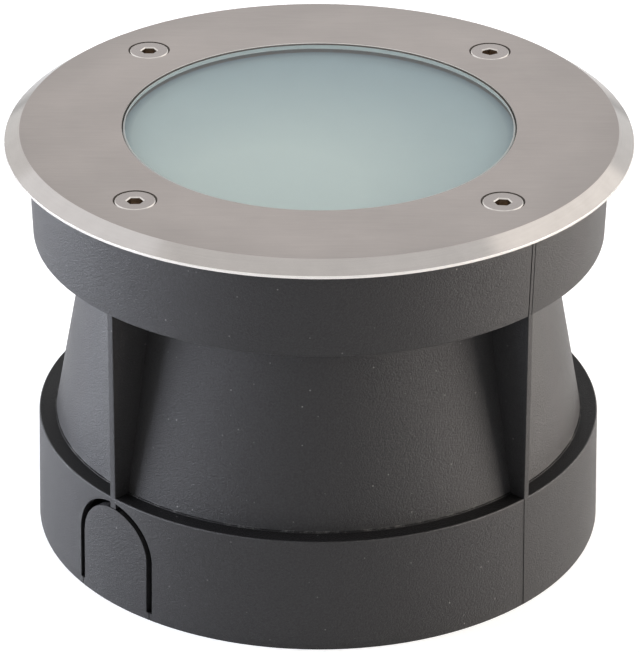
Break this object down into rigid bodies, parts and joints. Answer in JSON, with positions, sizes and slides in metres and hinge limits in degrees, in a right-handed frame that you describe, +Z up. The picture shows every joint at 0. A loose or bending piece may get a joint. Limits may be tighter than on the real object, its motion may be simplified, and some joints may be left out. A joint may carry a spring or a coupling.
{
  "type": "in ground well light",
  "caption": "Round recessed ground light: chamfered stainless bezel over frosted glass, finned lamp housing inside, black flared mounting sleeve with conduit knock-outs.",
  "frame": {"origin": "on the axis of the light, at the foot of the mounting sleeve", "axes": "+Z up out of the ground along the axis, -Y towards the viewer of the picture, +X to the viewer's right"},
  "size_m": [0.18, 0.18, 0.125],
  "materials": {
    "sleeve_plastic": "moulded black polypropylene with a fine grain",
    "insert_brass": "turned brass",
    "bezel_steel": "circularly brushed stainless steel",
    "screw_steel": "turned stainless steel",
    "frosted_glass": "toughened glass, sandblasted on its underside",
    "silicone": "translucent grey silicone",
    "cast_housing": "die-cast aluminium with a dark powder coat",
    "seat_rubber": "moulded EPDM",
    "white_reflector": "white moulded polycarbonate",
    "plate_aluminium": "rolled aluminium plate",
    "small_screw_steel": "zinc plated steel",
    "board_mask": "white solder mask",
    "led_phosphor": "phosphor gel in a white package",
    "plug_plastic": "natural polyamide",
    "driver_plastic": "light grey polycarbonate",
    "terminal_plastic": "natural polyamide",
    "terminal_brass": "nickel-free brass",
    "gland_plastic": "black glass-filled polyamide"
  },
  "bodies": {
    "sleeve": {"mounting_sleeve": "sleeve_plastic", "threaded_inserts": "insert_brass"},
    "lamp_unit": {"lamp_housing": "cast_housing", "seat_washers": "seat_rubber", "lens_gasket_lower": "silicone", "reflector": "white_reflector", "heat_spreader": "plate_aluminium", "spreader_screws": "small_screw_steel", "led_board": "board_mask", "led_packages": "led_phosphor", "board_plug": "plug_plastic", "board_screws": "small_screw_steel", "driver_case": "driver_plastic", "driver_lid": "driver_plastic", "driver_screws": "small_screw_steel", "terminal_block": "terminal_plastic", "terminal_screws": "terminal_brass", "terminal_fixings": "small_screw_steel", "earth_screw": "terminal_brass", "earth_washer": "small_screw_steel", "gland_body": "gland_plastic", "gland_seal": "seat_rubber", "gland_insert": "seat_rubber", "gland_cap": "gland_plastic", "breather": "gland_plastic"},
    "cover": {"bezel": "bezel_steel", "glass_lens": "frosted_glass", "lens_gasket_upper": "silicone"},
    "screw_1": {"bezel_screw_1": "screw_steel"},
    "screw_2": {"bezel_screw_2": "screw_steel"},
    "screw_3": {"bezel_screw_3": "screw_steel"},
    "screw_4": {"bezel_screw_4": "screw_steel"}
  },
  "joints": [
    {"name": "lamp_lift", "type": "slide", "parent": "sleeve", "child": "lamp_unit", "axis": [0, 0, 1], "range_m": [0, 0.095]},
    {"name": "cover_lift", "type": "slide", "parent": "lamp_unit", "child": "cover", "axis": [0, 0, 1], "range_m": [0, 0.03]},
    {"name": "screw_1_withdraw", "type": "slide", "parent": "cover", "child": "screw_1", "axis": [0, 0, 1], "range_m": [0, 0.026]},
    {"name": "screw_2_withdraw", "type": "slide", "parent": "cover", "child": "screw_2", "axis": [0, 0, 1], "range_m": [0, 0.026]},
    {"name": "screw_3_withdraw", "type": "slide", "parent": "cover", "child": "screw_3", "axis": [0, 0, 1], "range_m": [0, 0.026]},
    {"name": "screw_4_withdraw", "type": "slide", "parent": "cover", "child": "screw_4", "axis": [0, 0, 1], "range_m": [0, 0.026]}
  ]
}
